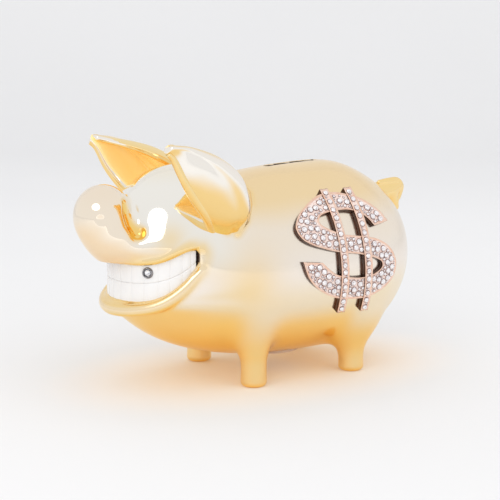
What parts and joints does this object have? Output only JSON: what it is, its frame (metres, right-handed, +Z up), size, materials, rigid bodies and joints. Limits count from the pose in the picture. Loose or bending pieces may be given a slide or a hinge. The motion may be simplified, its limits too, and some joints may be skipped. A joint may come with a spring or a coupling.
{
  "type": "piggy bank",
  "caption": "Gilt grinning piggy bank on stub legs with cupped ears, curled tail, back coin slot, belly plug and a stone-set currency sign on its flank.",
  "frame": {"origin": "On the table plane, in the middle of the bounding box from side to side and from snout to tail", "axes": "+Z up, -Y towards the snout, +X towards the pig's left side, which carries the currency sign"},
  "size_m": [0.1265, 0.2355, 0.1466],
  "materials": {
    "body_shell": "satin gold plating",
    "left_ear": "satin gold plating",
    "right_ear": "satin gold plating",
    "tail": "satin gold plating",
    "upper_teeth": "white glaze",
    "lower_teeth": "white glaze",
    "gem_bezel": "dark silver",
    "tooth_gem": "cut crystal",
    "dollar_s_plate": "rose gold plating",
    "dollar_bar_front": "rose gold plating",
    "dollar_bar_rear": "rose gold plating",
    "s_stones": "cut crystal",
    "front_bar_stones": "cut crystal",
    "rear_bar_stones": "cut crystal",
    "belly_plug": "matt rubber"
  },
  "bodies": {
    "bank": {"body_shell": "body_shell", "left_ear": "left_ear", "right_ear": "right_ear", "tail": "tail", "upper_teeth": "upper_teeth", "lower_teeth": "lower_teeth", "gem_bezel": "gem_bezel", "tooth_gem": "tooth_gem", "dollar_s_plate": "dollar_s_plate", "dollar_bar_front": "dollar_bar_front", "dollar_bar_rear": "dollar_bar_rear", "s_stones": "s_stones", "front_bar_stones": "front_bar_stones", "rear_bar_stones": "rear_bar_stones"},
    "plug": {"belly_plug": "belly_plug"}
  },
  "joints": [
    {"name": "plug_pull", "type": "slide", "parent": "bank", "child": "plug", "axis": [0, 0, -1], "range_m": [0, 0.0118]}
  ]
}
